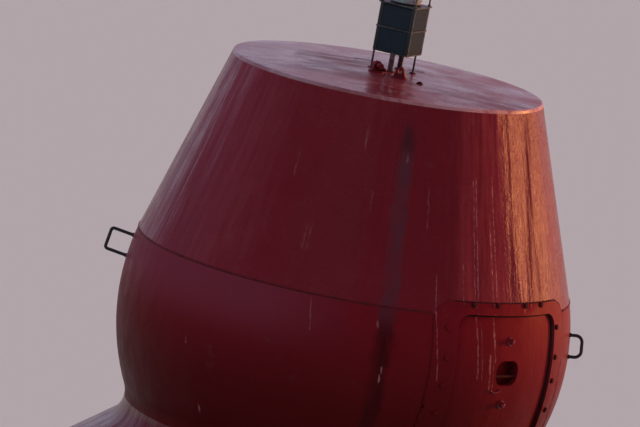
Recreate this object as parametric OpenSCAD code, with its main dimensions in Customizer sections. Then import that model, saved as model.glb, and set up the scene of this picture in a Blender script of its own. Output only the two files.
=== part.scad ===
// Lit port-hand can buoy: a moulded can and spherical body on a float collar and a steel skirt.
// Millimetres. The origin is the centre of the foot, +Z is up and the front faces -Y.
// An azimuth is measured from the front towards +X. Body heights are measured from the seam.

/* [Skirt and foot] */
// Outer radius of the steel skirt
skirt_r = 640; // [600:5:680]
// Plate thickness of the skirt
skirt_wall = 14; // [10:1:20]
// Height of the float's underside above the ground
skirt_h = 560; // [520:5:640]
// Radial width of the ballast ring
ballast_w = 95; // [70:5:110]
// Height of the ballast ring
ballast_h = 120; // [90:5:150]
// Rounding of the ballast ring's edges
ballast_round = 12; // [6:1:20]
// Number of ballast ring sections
ballast_count = 8; // [4:1:12]
// Gap between ballast sections
ballast_gap = 6; // [4:1:10]
// Radius of the limber holes in the skirt
limber_r = 50; // [30:1:60]
// Distance of the limber holes below the float
limber_drop = 90; // [80:5:110]
// Number of brackets between skirt and float
bracket_count = 8; // [4:4:8]
// Reach of a bracket from the skirt
bracket_reach = 250; // [200:5:300]
// Height of a bracket
bracket_drop = 230; // [180:5:280]
// Plate thickness of the brackets
bracket_t = 16; // [12:1:20]

/* [Float collar] */
// Radius of the collar's side
collar_r = 1330; // [1290:5:1380]
// Radius of the collar's flat underside
collar_foot_r = 1040; // [1000:5:1080]
// Height of the chamfer under the side
chamfer_h = 180; // [140:5:220]
// Height of the side, corner to corner
side_h = 400; // [350:5:450]
// Fall of the collar's top below the level
slope = 36.5; // [34:0.5:39]
// Rounding of the collar's top corner
collar_top_round = 90; // [60:5:120]
// Rounding of the collar's lower corners
collar_low_round = 45; // [30:5:60]

/* [Body] */
// Radius of the spherical body
body_r = 1100; // [1080:2:1130]
// Height of the seam above the bulge's middle
seam_rise = 300; // [270:5:330]
// Step in from the body to the neck
neck_in = 115; // [100:1:130]
// Hollow rounding between body and collar
neck_fillet = 150; // [130:5:170]
// Height of the can above the seam
can_h = 933; // [880:1:980]
// Radius of the deck's rim
deck_r = 755; // [720:1:790]
// Rise of the deck's crown
deck_crown = 28; // [20:1:36]
// Rounding of the rim
rim_round = 8; // [5:1:14]
// Half height of the seam strip
seam_half = 6; // [4:1:8]
// Thickness of the seam strip
seam_t = 3; // [2:0.5:4]

/* [Hatch] */
// Azimuth of the hatch's middle
hatch_az = 48; // [44:1:52]
// Width of the recessed pan
hatch_w = 690; // [640:2:710]
// Top of the pan above the seam
hatch_top = 8; // [0:1:20]
// Bottom of the pan below the seam
hatch_low = 620; // [580:2:640]
// Corner radius of the pan
hatch_corner = 72; // [60:1:84]
// Width of the flange beside the pan
flange_side = 112; // [100:1:125]
// Width of the flange over the pan
flange_top = 53; // [45:1:65]
// Width of the flange under the pan
flange_low = 78; // [60:1:90]
// Corner radius of the flange
flange_corner = 120; // [90:1:140]
// Thickness of the flange
flange_t = 7; // [5:1:10]
// Depth of the pan below the body
pan_depth = 13; // [10:1:24]
// Wall of the pan
pan_wall = 9; // [6:1:12]
// Width of the hand cup
cup_w = 150; // [130:2:160]
// Height of the hand cup
cup_h = 120; // [110:2:140]
// Corner radius of the hand cup
cup_corner = 48; // [40:1:56]
// Depth of the hand cup below the pan
cup_depth = 58; // [50:1:70]
// Place of the cup beside the hatch's middle
cup_side = -10; // [-20:1:20]
// Place of the cup below the seam
cup_low = 267; // [250:1:290]
// Radius of the grip bar
grip_r = 7; // [5:0.5:9]
// Drop of the grip bar below the cup's middle
grip_drop = 18; // [10:1:24]
// Depth of the grip bar behind the pan
grip_depth = 14; // [10:1:18]

/* [Handles] */
// Radius of the handle bar
handle_bar_r = 8; // [6:0.5:10]
// Grip length between the arms' middles
handle_grip = 106; // [96:1:120]
// Reach of the left handle from the body
left_reach = 110; // [100:1:125]
// Reach of the right handle from the body
right_reach = 61; // [56:1:80]
// Radius of the foot bosses
handle_boss_r = 11; // [10:1:16]
// Height of the foot bosses
handle_boss_h = 6; // [4:1:10]

/* [Deck fittings] */
// Thickness of the lifting eyes' plates
eye_t = 16; // [14:1:18]
// Width of a lifting eye's foot
eye_w = 76; // [70:1:84]
// Height of the hole above the deck
eye_hole_h = 31; // [29:1:36]
// Radius of the hole in the lifting eyes
eye_hole_r = 11; // [10:0.5:12]
// Radius of an eye's round head
eye_head_r = 21; // [20:0.5:24]
// Margin of the round doubler beside an eye's plate
eye_margin = 6; // [4:1:8]
// Radius of the lifting shackle's pin
lift_pin_r = 9; // [8:0.5:9.5]
// Radius of the lifting shackle's bar
lift_bar_r = 7; // [6:0.5:8]
// Inside length of the lifting shackle
lift_len = 52; // [48:1:56]
// Clearance beside the eye in a shackle's jaw
jaw_clear = 6; // [5:0.5:8]
// Radius of the filling plug in the deck
plug_r = 17; // [13:1:22]
// Height of the filling plug
plug_h = 9; // [6:1:12]
// Radius of the plug's hexagon head
plug_hex_r = 10.5; // [8:0.5:12.5]

/* [Lantern stand] */
// Height of the solar pack's underside over the rim
pack_lift = 115; // [100:1:130]
// Radius of the thin corner legs
leg_r = 5; // [4:0.5:6]
// Radius of the two stout legs
tube_r = 13; // [11:0.5:14]
// Radius of a leg's foot beyond the leg
foot_extra = 9; // [6:1:12]
// Thickness of a leg's foot
foot_t = 6; // [4:1:8]

/* [Solar pack and lantern] */
// Turn of the solar pack, towards -X
pack_turn = 22; // [18:1:26]
// Place of the pack's middle beside the deck's middle
pack_x = 20; // [10:1:30]
// Side of the square solar pack
pack_w = 182; // [170:1:190]
// Height of the solar pack
pack_h = 235; // [220:1:250]
// Thickness of the bottom tray's and top plate's metal
plate_t = 6; // [4:1:8]
// Overhang of the top plate
plate_over = 9; // [6:1:14]
// Leg length of the corner angles
angle_w = 18; // [15:1:22]
// Thickness of the corner angles
angle_t = 3; // [2:0.5:4]
// Thickness of the solar panels
panel_t = 5; // [4:0.5:7]
// Height of the ledge between the rows of panels
ledge_h = 8; // [6:1:10]
// Margin around each panel
panel_gap = 2; // [1:0.5:3]
// Radius of the lantern's body
lamp_r = 72; // [64:1:78]
// Height of the lantern's body
lamp_h = 58; // [50:1:70]
// Height of the lantern's shoulder above its foot
lamp_shoulder = 42; // [34:1:48]
// Radius of the lens
lens_r = 66; // [58:1:70]
// Height of the lens
lens_h = 92; // [80:1:110]
// Number of ribs round the lens
lens_ribs = 9; // [6:1:12]
// Depth of the ribs round the lens
rib_depth = 2.5; // [1.5:0.5:4]
// Height of the lantern's cap
cap_h = 34; // [28:1:40]
// Height of the cap's edge
cap_edge = 12; // [10:1:16]
// Radius of the cap's flat top
cap_flat_r = 22; // [18:1:28]
// Height of the bird spike
spike_h = 130; // [100:5:160]
// Radius of the bird spike
spike_r = 3; // [2:0.5:4]
// Height of the corner rods above the top plate
rod_h = 150; // [120:5:180]
// Radius of the corner rods
rod_r = 4; // [3:0.5:5]

/* [Mooring] */
// Thickness of the mooring lugs
lug_t = 30; // [26:1:34]
// Reach of a mooring lug's hole from the skirt
lug_reach = 84; // [80:1:100]
// Height of a mooring lug's hole
lug_z = 385; // [360:5:400]
// Radius of a mooring lug's round end
lug_r = 48; // [44:1:54]
// Height of a lug's root above its hole
lug_rise = 96; // [80:2:110]
// Depth of a lug's root below its hole
lug_fall = 58; // [50:1:60]
// Radius of a mooring lug's hole
lug_hole_r = 23; // [21:0.5:24]
// Radius of the mooring shackle's pin
moor_pin_r = 20; // [17:0.5:20]
// Radius of the mooring shackle's bar
moor_bar_r = 17; // [15:0.5:19]
// Inside length of the mooring shackle
moor_len = 118; // [110:1:126]

/* [Hidden] */

$fn = 96;
// Gap where one piece seats on another
seat = 0.3;
// Overreach of a cutting shape
over = 10;
// Room between the resting lifting shackle and its eye's doubler
rest_gap = 1.6;
// Distance of the seam strip's ends from the flange
strip_gap = 12;
// Rings that make up the deck's crown
crown_steps = 12;
// Shoulder of a lifting eye's round head, in degrees
eye_shoulder = 20;
// Radii of a shackle's ear and of its pin's head, and the head's height, per pin radius
ear_share = 1.7;
head_share = 1.6;
head_t_share = 0.8;
// Roundings of the lantern
lamp_round = 4;
cap_round = 10;
red = "#9c1c22";
dark_red = "#7a1418";
steel = "#8d9093";

// Heights of the collar's corners
side_low_z = skirt_h + chamfer_h;
side_top_z = side_low_z + side_h;

// The neck's hollow touches the collar's top and the body
neck_c_r = body_r - neck_in + neck_fillet;
neck_c_z = side_top_z + (collar_r - neck_c_r) * tan(slope) + neck_fillet / cos(slope);
body_z = neck_c_z + sqrt(pow(body_r + neck_fillet, 2) - pow(neck_c_r, 2));
seam_z = body_z + seam_rise;
rim_z = seam_z + can_h;

// Radius of the deck's crown
crown_r = (deck_r * deck_r + deck_crown * deck_crown) / (2 * deck_crown);

// Heights of the lantern's parts
tray_z = rim_z + pack_lift;
pack_top_z = tray_z + pack_h;
lamp_z = pack_top_z + plate_t;
lens_z = lamp_z + lamp_h;
cap_z = lens_z + lens_h;
row_h = (pack_h - plate_t - ledge_h) / 2;

// Body radius at the seam on a form grown by g
function seam_r(g = 0) = sqrt(pow(body_r + g, 2) - seam_rise * seam_rise);
// Bottom of the hand cup, from the axis
cup_back = body_r - pan_depth - cup_depth;
// Half the hand cup's width at a drop below its middle
function cup_half(drop) =
    cup_w / 2 - cup_corner + sqrt(pow(cup_corner, 2) - pow(max(drop - cup_h / 2 + cup_corner, 0), 2));
// Height of the deck at a distance from the axis
function deck_z(r) = rim_z + deck_crown - crown_r + sqrt(crown_r * crown_r - r * r);
// Slope of the can's side
can_lean = atan2(seam_r() - deck_r, can_h);

// The deck meets the can's side below its rounding
deck_low = [deck_r + 2 * rim_round * tan(can_lean), rim_z - 2 * rim_round];

// Handles as azimuth, height from the seam, reach, bend radius
HANDLE_LEFT = [-90, -110, left_reach, 14];
HANDLE_RIGHT = [85, -195, right_reach, 32];
// Lifting eyes as x, y, turn
EYE_LEFT = [-62, -150, 35];
EYE_RIGHT = [52, -214, -20];
// Legs as x, y
LEG_LEFT = [-90, -40];
LEG_RIGHT = [112, -2];
LEG_FRONT = [2, -72];
LEG_BACK = [46, 66];
// Filling plug as x, y
PLUG = [151, -283];

// Each shackle's pin hangs on the low side of its hole
lift_drop = eye_hole_r - lift_pin_r - seat;
moor_drop = lug_hole_r - moor_pin_r - seat;

// The lifting shackle lies on the edge of its eye's round doubler
eye_base_t = eye_t / 3;
lift_side = eye_t / 2 + jaw_clear + lift_bar_r;
lift_edge = [sqrt(eye_w * eye_w / 4 - lift_side * lift_side), eye_hole_h - lift_drop - eye_base_t];
lift_rest = acos((lift_bar_r + rest_gap) / norm(lift_edge)) - atan2(lift_edge[0], lift_edge[1]);

// A closed outline with round corners, from points given as x, y, corner radius, anticlockwise
function unit(v) = v / norm(v);
function side_cross(a, b) = a[0] * b[1] - a[1] * b[0];
function at(p, i) = [p[i][0], p[i][1]];
function corner(p, i) =
    let (n = len(p), here = at(p, i), to = unit(at(p, (i + 1) % n) - here),
         from = unit(at(p, (i + n - 1) % n) - here), half = acos(to * from) / 2, r = p[i][2])
    [here + from * r / tan(half), here + to * r / tan(half),
     here + unit(to + from) * r / sin(half), side_cross(-from, to) > 0, r, here];
module rounded(p) {
    c = [for (i = [0 : len(p) - 1]) corner(p, i)];
    difference() {
        union() {
            polygon([for (k = c) each k[4] == 0 ? [k[5]] : k[3] ? [k[0], k[1]] : [k[0], k[5], k[1]]]);
            for (k = c) if (k[4] > 0 && k[3]) translate(k[2]) circle(k[4]);
            for (k = c) if (k[4] > 0 && !k[3]) polygon([k[0], k[2], k[1], k[5]]);
        }
        for (k = c) if (k[4] > 0 && !k[3]) translate(k[2]) circle(k[4]);
    }
}

// A rectangle with round corners, middle at the origin
module round_rect(w, h, r) {
    rounded([[-w / 2, -h / 2, r], [w / 2, -h / 2, r], [w / 2, h / 2, r], [-w / 2, h / 2, r]]);
}

// Body and can as one solid, grown outwards by g
module hull_form(g) {
    translate([0, 0, body_z]) intersection() {
        sphere(body_r + g, $fn = 192);
        translate([0, 0, -body_r - over + (seam_rise + body_r + over) / 2])
            cube([4 * body_r, 4 * body_r, seam_rise + body_r + over], center = true);
    }
    translate([0, 0, seam_z])
        cylinder(h = can_h, r1 = seam_r(g), r2 = deck_r + seam_r(g) - seam_r(), $fn = 192);
}

// Moves from the axis to an azimuth, facing -Y there
module facing(az) { rotate([0, 0, az]) children(); }

// A bar bent into a shackle's bow, legs along +X from the pin's axis, arch round y = 0
module bow(half_jaw, bar, length, pin_r) {
    mid = half_jaw + bar;
    difference() {
        union() {
            for (s = [-1, 1]) translate([0, s * mid, 0]) {
                rotate([90, 0, 0]) cylinder(h = 2 * bar, r = pin_r * ear_share, center = true);
                rotate([0, 90, 0]) cylinder(h = length - mid, r = bar);
            }
            translate([length - mid, 0, 0]) rotate([0, 0, -90])
                rotate_extrude(angle = 180) translate([mid, 0]) circle(bar);
        }
        rotate([90, 0, 0]) cylinder(h = 4 * mid, r = pin_r + seat, center = true);
    }
}

// A shackle's pin along Y, with its head and its nut outside the ears
module shackle_pin(half_jaw, bar, r) {
    reach = half_jaw + 2 * bar + seat;
    rotate([90, 0, 0]) cylinder(h = 2 * reach + r, r = r, center = true);
    for (s = [0, 180]) rotate([0, 0, s]) translate([0, reach, 0]) rotate([-90, 0, 0])
        cylinder(h = r * head_t_share, r = r * head_share, $fn = s == 0 ? 6 : $fn);
}

// Skirt and foot

module skirt() {
    color(dark_red) difference() {
        cylinder(h = skirt_h, r = skirt_r, $fn = 192);
        translate([0, 0, -over]) cylinder(h = skirt_h + 2 * over, r = skirt_r - skirt_wall, $fn = 192);
        for (a = [45 : 90 : 315]) facing(a) translate([0, 0, skirt_h - limber_drop])
            rotate([90, 0, 0]) cylinder(h = skirt_r + over, r = limber_r);
    }
}

module ballast_ring() {
    turn = 360 / ballast_count;
    half_gap = atan2(ballast_gap / 2, skirt_r);
    color("#4a4543") for (i = [0 : ballast_count - 1]) rotate([0, 0, i * turn + half_gap])
        rotate_extrude(angle = turn - 2 * half_gap, $fn = 192)
            translate([skirt_r + seat + ballast_w / 2, ballast_h / 2])
                round_rect(ballast_w, ballast_h, ballast_round);
}

module brackets() {
    turn = 360 / bracket_count;
    top = skirt_h - seat;
    color(dark_red) difference() {
        for (i = [0 : bracket_count - 1]) facing((i + 0.5) * turn)
            rotate([90, 0, -90]) linear_extrude(bracket_t, center = true)
                rounded([[skirt_r - skirt_wall / 2, top, 0], [skirt_r - skirt_wall / 2, top - bracket_drop, 0],
                         [skirt_r + bracket_t, top - bracket_drop, 0],
                         [skirt_r + bracket_reach, top - bracket_t, 0], [skirt_r + bracket_reach, top, 0]]);
        cylinder(h = skirt_h + over, r = skirt_r + seat, $fn = 192);
    }
}

module mooring_lug() {
    reach = skirt_r + lug_reach;
    color(dark_red) difference() {
        translate([reach, 0, lug_z]) rotate([90, 0, 0]) linear_extrude(lug_t, center = true) difference() {
            union() {
                circle(lug_r);
                polygon([[0, -lug_r], [0, lug_r], [-lug_reach, lug_rise], [-lug_reach, -lug_fall]]);
            }
            circle(lug_hole_r);
        }
        cylinder(h = skirt_h, r = skirt_r + seat, $fn = 192);
    }
}
module mooring_lug_left() { rotate([0, 0, 180]) mooring_lug(); }
module mooring_lug_right() { mooring_lug(); }

// Float and shells

module float_collar() {
    line_r = neck_c_r - neck_fillet * sin(slope);
    color(red) rotate_extrude($fn = 192) difference() {
        union() {
            rounded([[0, skirt_h, 0], [collar_foot_r, skirt_h, collar_low_round],
                     [collar_r, side_low_z, collar_low_round], [collar_r, side_top_z, collar_top_round],
                     [line_r, neck_c_z - neck_fillet * cos(slope), 0], [0, neck_c_z - neck_fillet * cos(slope), 0]]);
            polygon([[0, skirt_h + over], [line_r, neck_c_z - neck_fillet * cos(slope)],
                     [neck_c_r, neck_c_z], [0, neck_c_z]]);
        }
        translate([neck_c_r, neck_c_z]) circle(neck_fillet);
    }
}

module lower_shell() {
    lean = asin(neck_c_r / (body_r + neck_fillet));
    touch = [body_r * sin(lean), body_z - body_r * cos(lean)];
    color(red) difference() {
        rotate_extrude($fn = 192) {
            intersection() {
                translate([0, body_z]) circle(body_r, $fn = 192);
                translate([0, neck_c_z]) square([2 * body_r, seam_z - neck_c_z]);
            }
            difference() {
                polygon([[0, neck_c_z], [neck_c_r, neck_c_z], touch, [0, touch[1]]]);
                translate([neck_c_r, neck_c_z]) circle(neck_fillet);
            }
        }
        hatch_pocket();
    }
}

module upper_shell() {
    color(red) difference() {
        translate([0, 0, seam_z]) cylinder(h = deck_low[1] - seam_z, r1 = seam_r(), r2 = deck_low[0], $fn = 192);
        hatch_pocket();
    }
}

module deck() {
    crown = [for (i = [crown_steps - 1 : -1 : 0]) [deck_r * i / crown_steps, deck_z(deck_r * i / crown_steps), 0]];
    color(red) rotate_extrude($fn = 192)
        rounded(concat([[0, deck_low[1], 0], [deck_low[0], deck_low[1], 0], [deck_r, rim_z, rim_round]], crown));
}

module seam_strip() {
    half = asin((hatch_w / 2 + flange_side + strip_gap) / seam_r());
    color(dark_red) rotate([0, 0, hatch_az - 90 + half]) rotate_extrude(angle = 360 - 2 * half, $fn = 192)
        polygon([[seam_r() - seam_half * tan(can_lean) + seat, seam_z + seam_half],
                 [seam_r() + seat, seam_z],
                 [sqrt(body_r * body_r - pow(seam_rise - seam_half, 2)) + seat, seam_z - seam_half],
                 [seam_r() + seam_t, seam_z - seam_half / 2],
                 [seam_r() + seam_t, seam_z + seam_half / 2]]);
}

// Hatch

// An outline in the hatch's own plane, pushed through the body's front
module through_hatch() {
    facing(hatch_az) rotate([90, 0, 0]) translate([0, seam_z, body_r / 2]) linear_extrude(body_r) children();
}

// The pan's rounded outline, grown by side, top and low
module hatch_outline(side, top, low, round_r) {
    h = hatch_top + top + hatch_low + low;
    translate([0, hatch_top + top - h / 2]) round_rect(hatch_w + 2 * side, h, round_r);
}
module pan_outline(grow) { hatch_outline(grow, grow, grow, hatch_corner + grow); }
module flange_outline() { hatch_outline(flange_side, flange_top, flange_low, flange_corner); }

// The hand cup's outline grown by g, pushed out from the back wall
module cup_form(g) {
    facing(hatch_az) translate([cup_side, g - cup_back, seam_z - cup_low]) rotate([90, 0, 0])
        linear_extrude(body_r) round_rect(cup_w + 2 * g, cup_h + 2 * g, cup_corner + g);
}

module hatch_pocket() {
    difference() {
        through_hatch() pan_outline(pan_wall + seat);
        hull_form(-pan_depth - pan_wall - seat);
    }
    cup_form(pan_wall + seat);
}

module hatch_cover() {
    color(red) difference() {
        union() {
            intersection() {
                through_hatch() flange_outline();
                difference() {
                    hull_form(flange_t);
                    hull_form(seat);
                }
            }
            intersection() {
                through_hatch() pan_outline(pan_wall);
                difference() {
                    hull_form(flange_t / 2);
                    hull_form(-pan_depth - pan_wall);
                }
            }
            intersection() {
                cup_form(pan_wall);
                hull_form(-pan_depth);
            }
        }
        difference() {
            through_hatch() pan_outline(0);
            hull_form(-pan_depth);
        }
        cup_form(0);
    }
}

module hatch_grip() {
    half = cup_half(grip_drop + grip_r) - seat;
    color(dark_red) facing(hatch_az)
        translate([cup_side, -(body_r - pan_depth - grip_depth - grip_r), seam_z - cup_low - grip_drop])
            rotate([0, 90, 0]) cylinder(h = 2 * half, r = grip_r, center = true);
}

// Handles

module handle(place) {
    reach = place[2];
    bend = place[3];
    half = handle_grip / 2;
    lift = asin((seam_rise + place[1]) / body_r);
    color("#1d1c1e") difference() {
        translate([0, 0, body_z]) facing(place[0]) rotate([-lift, 0, 0]) rotate([0, 0, -90])
            translate([body_r, 0, 0]) rotate([90, 0, 0]) {
                for (s = [-1, 1]) translate([0, s * half, 0]) {
                    translate([-over, 0, 0]) rotate([0, 90, 0])
                        cylinder(h = reach - bend + over, r = handle_bar_r);
                    translate([-over, 0, 0]) rotate([0, 90, 0])
                        cylinder(h = handle_boss_h + over, r = handle_boss_r);
                }
                translate([reach, 0, 0]) rotate([90, 0, 0])
                    cylinder(h = handle_grip - 2 * bend, r = handle_bar_r, center = true);
                for (s = [0, 1]) mirror([0, s, 0]) translate([reach - bend, half - bend, 0])
                    rotate_extrude(angle = 90) translate([bend, 0]) circle(handle_bar_r);
            }
        hull_form(seat);
    }
}
module handle_left() { handle(HANDLE_LEFT); }
module handle_right() { handle(HANDLE_RIGHT); }

// Deck fittings

// Height of the flat foot of a fitting with radius r, clear of the crowned deck
function foot_z(p, r) = deck_z(norm([p[0], p[1]]) - r) + seat;

// A lifting eye stands on a round doubler and its sides lean in to a round head
module lifting_eye(place) {
    foot = eye_w / 2 - eye_margin;
    head = [eye_head_r * cos(eye_shoulder), eye_hole_h + eye_head_r * sin(eye_shoulder)];
    color(dark_red) translate([place[0], place[1], foot_z(place, eye_w / 2)]) {
        rotate([90, 0, place[2]]) linear_extrude(eye_t, center = true) difference() {
            union() {
                translate([0, eye_hole_h]) circle(eye_head_r);
                polygon([[-foot, 0], [foot, 0], head, [-head[0], head[1]]]);
            }
            translate([0, eye_hole_h]) circle(eye_hole_r);
        }
        cylinder(h = eye_base_t, r = eye_w / 2);
    }
}
module lifting_eye_left() { lifting_eye(EYE_LEFT); }
module lifting_eye_right() { lifting_eye(EYE_RIGHT); }

// Places a shackle on the left eye's hole, lying down to the right
module on_left_eye() {
    translate([EYE_LEFT[0], EYE_LEFT[1], foot_z(EYE_LEFT, eye_w / 2) + eye_hole_h - lift_drop])
        rotate([0, 0, EYE_LEFT[2]]) rotate([0, lift_rest, 0]) children();
}
module lifting_bow() {
    color(steel) on_left_eye() bow(eye_t / 2 + jaw_clear, lift_bar_r, lift_len, lift_pin_r);
}
module lifting_pin() {
    color(steel) on_left_eye() shackle_pin(eye_t / 2 + jaw_clear, lift_bar_r, lift_pin_r);
}

module filling_plug() {
    color(dark_red) translate([PLUG[0], PLUG[1], foot_z(PLUG, plug_r)]) {
        cylinder(h = plug_h, r = plug_hex_r, $fn = 6);
        cylinder(h = plug_h / 3, r = plug_r);
    }
}

// Lantern stand

module leg(place, r) {
    z = foot_z(place, r + foot_extra);
    color(steel) translate([place[0], place[1], z]) {
        cylinder(h = tray_z - z - seat, r = r);
        cylinder(h = foot_t, r = r + foot_extra);
    }
}
module leg_left() { leg(LEG_LEFT, leg_r); }
module leg_right() { leg(LEG_RIGHT, leg_r); }
module leg_front() { leg(LEG_FRONT, tube_r); }
module leg_back() { leg(LEG_BACK, tube_r); }

// Solar pack and lantern

// Moves to the pack's middle and turn, at a height
module on_pack(z) { translate([pack_x, 0, z]) rotate([0, 0, -pack_turn]) children(); }

module pack_tray() {
    color("#3b3d40") on_pack(tray_z) linear_extrude(plate_t) square(pack_w, center = true);
}

module pack_core() {
    side = pack_w - 2 * panel_t - 2 * seat;
    color("#2a2b2e") on_pack(tray_z + plate_t + seat)
        linear_extrude(pack_h - plate_t - 2 * seat) difference() {
            square(side, center = true);
            for (a = [0 : 90 : 270]) rotate([0, 0, a]) translate([pack_w / 2, pack_w / 2])
                square(2 * (angle_w + seat), center = true);
        }
}

module corner_angles() {
    color("#55585b") on_pack(tray_z + plate_t + seat) for (a = [0 : 90 : 270]) rotate([0, 0, a])
        translate([pack_w / 2, pack_w / 2]) linear_extrude(pack_h - plate_t - 2 * seat) difference() {
            translate([-angle_w, -angle_w]) square(angle_w);
            translate([-angle_w - over, -angle_w - over]) square(angle_w + over - angle_t);
        }
}

module panel_row(z) {
    w = pack_w - 2 * angle_w - 2 * panel_gap;
    color("#23252c") on_pack(z) for (a = [0 : 90 : 270]) rotate([0, 0, a])
        translate([-w / 2, pack_w / 2 - panel_t, 0]) cube([w, panel_t, row_h - 2 * panel_gap]);
}
module panels_low() { panel_row(tray_z + plate_t + panel_gap); }
module panels_high() { panel_row(tray_z + plate_t + row_h + ledge_h + panel_gap); }

module pack_ledge() {
    color("#6b6e70") on_pack(tray_z + plate_t + row_h) linear_extrude(ledge_h) difference() {
        square(pack_w + 2 * angle_t, center = true);
        square(pack_w + 2 * seat, center = true);
    }
}

module top_plate() {
    side = pack_w + 2 * plate_over;
    color("#9a9da0") on_pack(pack_top_z) linear_extrude(plate_t) round_rect(side, side, plate_t);
}

module corner_rods() {
    color("#3b3d40") on_pack(lamp_z + seat) for (a = [0 : 90 : 270]) rotate([0, 0, a])
        translate([pack_w / 2 - rod_r, pack_w / 2 - rod_r, 0]) {
            cylinder(h = rod_h, r = rod_r);
            cylinder(h = 2 * rod_r, r = 2 * rod_r, $fn = 6);
        }
}

module lamp_body() {
    color("#c9c9c4") translate([pack_x, 0, 0]) rotate_extrude()
        rounded([[0, lamp_z + seat, 0], [lamp_r, lamp_z + seat, lamp_round],
                 [lamp_r, lamp_z + lamp_shoulder, lamp_round], [lens_r, lens_z, 0], [0, lens_z, 0]]);
}

// A ribbed drum between two plain rims
module lamp_lens() {
    foot = lens_z + seat;
    pitch = lens_h / (lens_ribs + 2);
    ribs = [for (i = [1 : lens_ribs]) each [[lens_r - rib_depth, foot + i * pitch],
                                            [lens_r, foot + (i + 0.5) * pitch]]];
    color("#b3121a") translate([pack_x, 0, 0]) rotate_extrude()
        polygon(concat([[0, foot], [lens_r, foot], [lens_r, foot + pitch / 2]], ribs,
                       [[lens_r - rib_depth, cap_z - pitch], [lens_r, cap_z - pitch / 2],
                        [lens_r, cap_z], [0, cap_z]]));
}

module lamp_cap() {
    color("#c9c9c4") translate([pack_x, 0, 0]) rotate_extrude()
        rounded([[0, cap_z + seat, 0], [lamp_r, cap_z + seat, lamp_round], [lamp_r, cap_z + cap_edge, lamp_round],
                 [cap_flat_r, cap_z + cap_h, cap_round], [0, cap_z + cap_h, 0]]);
}

module bird_spike() {
    color(steel) translate([pack_x, 0, cap_z + cap_h + seat]) {
        cylinder(h = spike_h, r = spike_r);
        cylinder(h = 3 * spike_r, r = 3 * spike_r, $fn = 6);
    }
}

// Mooring shackles, hanging from the lugs

module on_lug(side) {
    translate([side * (skirt_r + lug_reach), 0, lug_z - moor_drop]) rotate([0, 90, 0]) children();
}
module mooring_bow(side) {
    color(steel) on_lug(side) bow(lug_t / 2 + jaw_clear, moor_bar_r, moor_len, moor_pin_r);
}
module mooring_pin(side) {
    color(steel) on_lug(side) shackle_pin(lug_t / 2 + jaw_clear, moor_bar_r, moor_pin_r);
}
module mooring_bow_left() { mooring_bow(-1); }
module mooring_pin_left() { mooring_pin(-1); }
module mooring_bow_right() { mooring_bow(1); }
module mooring_pin_right() { mooring_pin(1); }

skirt();
ballast_ring();
brackets();
mooring_lug_left();
mooring_lug_right();
float_collar();
lower_shell();
upper_shell();
deck();
seam_strip();
hatch_cover();
hatch_grip();
handle_left();
handle_right();
lifting_eye_left();
lifting_eye_right();
lifting_bow();
lifting_pin();
filling_plug();
leg_left();
leg_right();
leg_front();
leg_back();
pack_tray();
pack_core();
corner_angles();
panels_low();
panels_high();
pack_ledge();
top_plate();
corner_rods();
lamp_body();
lamp_lens();
lamp_cap();
bird_spike();
mooring_bow_left();
mooring_pin_left();
mooring_bow_right();
mooring_pin_right();
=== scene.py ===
"""Looks of the lit can buoy: paint, wear, small hardware, soft light and the photograph's camera.

All lengths are metres in the frame's own axes: +Z up, the front towards -Y. An azimuth is in degrees from
the front towards +X, and a rise is a height from the seam between body and can.
"""
import math
import random

import bmesh
import bpy
from mathutils import Matrix, Vector, noise

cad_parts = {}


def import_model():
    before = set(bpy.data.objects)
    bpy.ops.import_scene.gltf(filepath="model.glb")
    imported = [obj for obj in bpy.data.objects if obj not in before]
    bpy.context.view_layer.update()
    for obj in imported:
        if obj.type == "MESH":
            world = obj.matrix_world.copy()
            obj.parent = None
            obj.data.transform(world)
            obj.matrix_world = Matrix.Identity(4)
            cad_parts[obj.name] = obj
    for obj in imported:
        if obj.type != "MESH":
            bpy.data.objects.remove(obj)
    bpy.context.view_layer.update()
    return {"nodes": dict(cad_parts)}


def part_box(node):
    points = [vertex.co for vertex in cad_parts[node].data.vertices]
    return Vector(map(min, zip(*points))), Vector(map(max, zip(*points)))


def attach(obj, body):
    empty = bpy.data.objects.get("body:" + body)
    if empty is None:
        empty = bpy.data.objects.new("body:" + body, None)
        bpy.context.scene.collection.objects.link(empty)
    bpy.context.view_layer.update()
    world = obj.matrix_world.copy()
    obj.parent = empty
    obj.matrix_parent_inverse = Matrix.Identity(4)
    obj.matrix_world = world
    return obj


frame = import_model()

# Height of the seam over the body's middle, and the round of the deck's rim
SEAM_RISE = 0.300
RIM_ROUND = 0.008

# Places worked out from the frame
SEAM_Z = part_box("lower_shell")[1].z
BODY_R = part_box("lower_shell")[1].x
BODY_Z = SEAM_Z - SEAM_RISE
SEAM_R = math.sqrt(BODY_R ** 2 - SEAM_RISE ** 2)
DECK_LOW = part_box("upper_shell")[1].z
CAN_TAPER = (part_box("upper_shell")[1].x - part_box("deck")[1].x) / (DECK_LOW - SEAM_Z)
CAN_LEAN = math.atan(CAN_TAPER)
RIM_Z = DECK_LOW + 2 * RIM_ROUND
FLOAT_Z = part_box("float_collar")[0].z
SKIRT_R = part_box("skirt")[1].x
DECK_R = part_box("deck")[1].x
LAMP_X = sum(c.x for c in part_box("lamp_lens")) / 2

# The hatch: azimuth of its middle, half width, rises, depth and corner of its pan, and half width, rises,
# thickness and corner of its flange
HATCH_AZ = 48.0
PAN_HALF = 0.345
PAN_TOP = 0.008
PAN_LOW = -0.620
PAN_DEPTH = 0.013
PAN_CORNER = 0.072
FLANGE_HALF = 0.457
FLANGE_TOP = 0.061
FLANGE_LOW = -0.698
FLANGE_T = 0.007
FLANGE_CORNER = 0.120

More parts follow.
